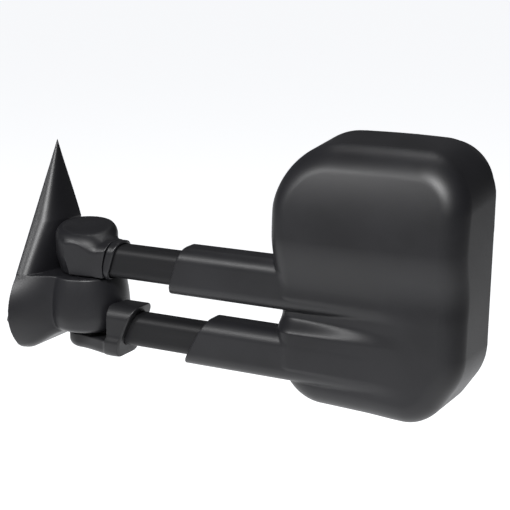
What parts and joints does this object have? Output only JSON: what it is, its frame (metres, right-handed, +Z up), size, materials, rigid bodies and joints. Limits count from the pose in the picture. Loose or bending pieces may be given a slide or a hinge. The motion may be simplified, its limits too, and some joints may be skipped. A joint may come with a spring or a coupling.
{
  "type": "towing mirror",
  "caption": "Telescoping towing mirror for a vehicle door: triangular sail foot, folding knuckle, twin slide arms and a tall rounded head with a flat glass above a wide-angle glass.",
  "frame": {"origin": "centre of the stud pattern on the face that meets the door", "axes": "+X outboard, away from the door; +Y rearward, the way the glass faces; +Z up"},
  "size_m": [0.5183, 0.116, 0.273],
  "materials": {
    "textured_black_plastic": "fine grained, satin",
    "black_cast_arm": "fine textured black paint",
    "satin_black_plastic": "satin",
    "black_painted_steel": "satin powder coat",
    "cast_alloy": "as cast",
    "seal_rubber": "matt",
    "zinc_steel": "zinc plated",
    "bearing_plastic": "smooth",
    "frame_plastic": "smooth",
    "mirror_glass": "polished",
    "foam_pad": "matt"
  },
  "bodies": {
    "door_mount": {"sail_cover": "textured_black_plastic", "mount_casting": "cast_alloy", "door_gasket": "seal_rubber", "door_studs": "zinc_steel", "cover_screws": "zinc_steel", "pivot_post": "zinc_steel", "lower_thrust_washer": "zinc_steel", "post_bottom_washer": "zinc_steel", "post_bottom_screw": "zinc_steel", "spring_retainer": "zinc_steel", "pivot_nut": "zinc_steel", "fixed_detent_ring": "zinc_steel"},
    "arm_bracket": {"moving_detent_ring": "zinc_steel", "detent_balls": "zinc_steel", "upper_pivot_bush": "bearing_plastic", "lower_pivot_bush": "bearing_plastic", "fold_spring": "zinc_steel", "knuckle_cover": "textured_black_plastic", "arm_collar": "textured_black_plastic", "upper_arm_casting": "cast_alloy", "lower_arm_root": "black_cast_arm", "upper_arm_tube": "black_painted_steel", "lower_arm_tube": "black_painted_steel", "tube_screws": "zinc_steel", "tube_end_stops": "bearing_plastic"},
    "head": {"head_shell": "textured_black_plastic", "glass_bezel": "satin_black_plastic", "carrier_frame": "frame_plastic", "carrier_screws": "zinc_steel", "carrier_bushes": "bearing_plastic", "sleeve_bushes": "bearing_plastic", "sleeve_wipers": "seal_rubber", "slide_friction_pads": "bearing_plastic", "slide_friction_spring": "zinc_steel", "main_socket": "frame_plastic", "spotter_socket": "frame_plastic", "socket_screws": "zinc_steel"},
    "main_gimbal": {"main_tilt_ring": "frame_plastic", "main_yaw_pins": "zinc_steel", "main_pitch_pins": "zinc_steel"},
    "main_mirror": {"main_back_plate": "frame_plastic", "main_glass_pad": "foam_pad", "main_glass": "mirror_glass"},
    "spotter_gimbal": {"spotter_tilt_ring": "frame_plastic", "spotter_yaw_pins": "zinc_steel", "spotter_pitch_pins": "zinc_steel"},
    "spotter_mirror": {"spotter_back_plate": "frame_plastic", "spotter_glass_pad": "foam_pad", "spotter_glass": "mirror_glass"}
  },
  "joints": [
    {"name": "fold", "type": "hinge", "parent": "door_mount", "child": "arm_bracket", "pos_m": [0.06, 0.01, 0], "axis": [0, 0, 1], "range_deg": [-60, 80]},
    {"name": "extend", "type": "slide", "parent": "arm_bracket", "child": "head", "axis": [1, 0, 0], "range_m": [-0.076, 0]},
    {"name": "main_yaw", "type": "hinge", "parent": "head", "child": "main_gimbal", "pos_m": [0.403, 0.03, 0.105], "axis": [0, 0, 1], "range_deg": [-7, 7]},
    {"name": "main_pitch", "type": "hinge", "parent": "main_gimbal", "child": "main_mirror", "pos_m": [0.403, 0.03, 0.105], "axis": [1, 0, 0], "range_deg": [-7, 7]},
    {"name": "spotter_yaw", "type": "hinge", "parent": "head", "child": "spotter_gimbal", "pos_m": [0.401, 0.03, -0.028], "axis": [0, 0, 1], "range_deg": [-7, 7]},
    {"name": "spotter_pitch", "type": "hinge", "parent": "spotter_gimbal", "child": "spotter_mirror", "pos_m": [0.401, 0.03, -0.028], "axis": [1, 0, 0], "range_deg": [-7, 7]}
  ]
}
